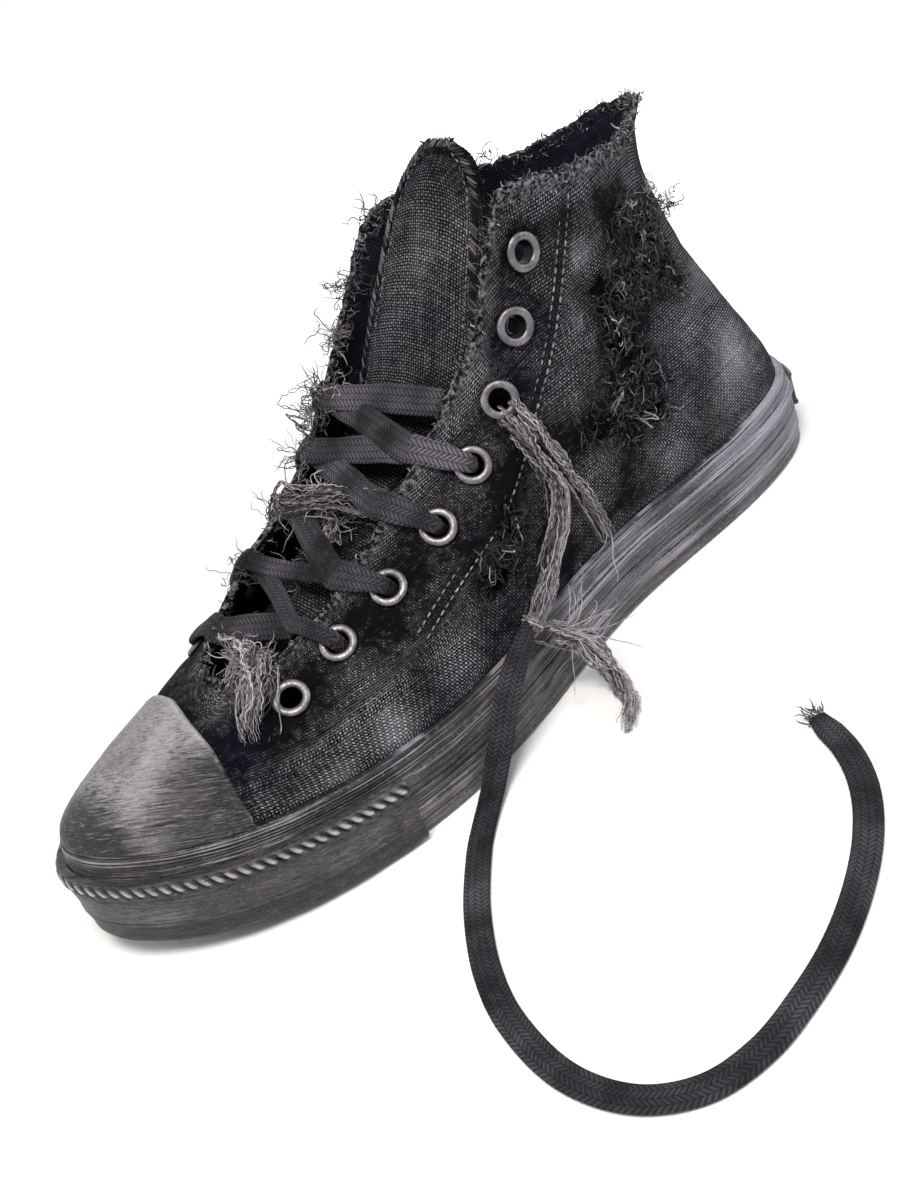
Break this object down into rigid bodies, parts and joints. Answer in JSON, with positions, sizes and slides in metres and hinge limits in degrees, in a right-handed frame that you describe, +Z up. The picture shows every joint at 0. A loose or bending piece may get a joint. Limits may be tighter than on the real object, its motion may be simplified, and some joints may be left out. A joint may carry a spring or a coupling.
{
  "type": "high-top sneaker",
  "caption": "Left high-top canvas sneaker, heavily worn: torn fabric, frayed flat laces with a loose end, metal eyelets, rubber toe cap and banded rubber sole.",
  "frame": {"origin": "on the floor, at the middle of the shoe footprint, measured without the loose lace ends", "axes": "+X to the toe, +Y to the outer side of the foot, +Z up"},
  "size_m": [0.2903, 0.2152, 0.1452],
  "materials": {
    "canvas": "worn black canvas, dry and matte, with silvery rubbed threads",
    "lining": "dark navy fabric, matte",
    "sole_rubber": "dull black rubber, scuffed grey",
    "side_rubber": "black rubber rubbed to grey, with fine moulded ribs",
    "cap_rubber": "dark rubber rubbed to warm grey, with fine scratches",
    "eyelet_metal": "gunmetal plating worn bright at the rims",
    "lace_cord": "flat plaited charcoal lace, frayed to pale grey threads"
  },
  "bodies": {
    "root": {"outsole": "sole_rubber", "foxing": "side_rubber", "toe_bumper": "side_rubber", "toe_cap": "cap_rubber", "upper": "canvas", "tongue": "canvas", "insole": "lining", "heel_strip": "canvas", "heel_plate": "side_rubber", "lace_zigzag": "lace_cord", "eyelet_lateral_1": "eyelet_metal", "eyelet_lateral_2": "eyelet_metal", "eyelet_lateral_3": "eyelet_metal", "eyelet_lateral_4": "eyelet_metal", "eyelet_lateral_5": "eyelet_metal", "eyelet_lateral_6": "eyelet_metal", "eyelet_lateral_7": "eyelet_metal", "eyelet_lateral_8": "eyelet_metal", "eyelet_medial_1": "eyelet_metal", "eyelet_medial_2": "eyelet_metal", "eyelet_medial_3": "eyelet_metal", "eyelet_medial_4": "eyelet_metal", "eyelet_medial_5": "eyelet_metal", "eyelet_medial_6": "eyelet_metal", "eyelet_medial_7": "eyelet_metal", "eyelet_medial_8": "eyelet_metal", "lace_loose_end": "lace_cord", "lace_fray_to_knot": "lace_cord", "lace_fray_short": "lace_cord", "lace_fray_side": "lace_cord", "lace_fray_toe": "lace_cord"}
  },
  "joints": []
}
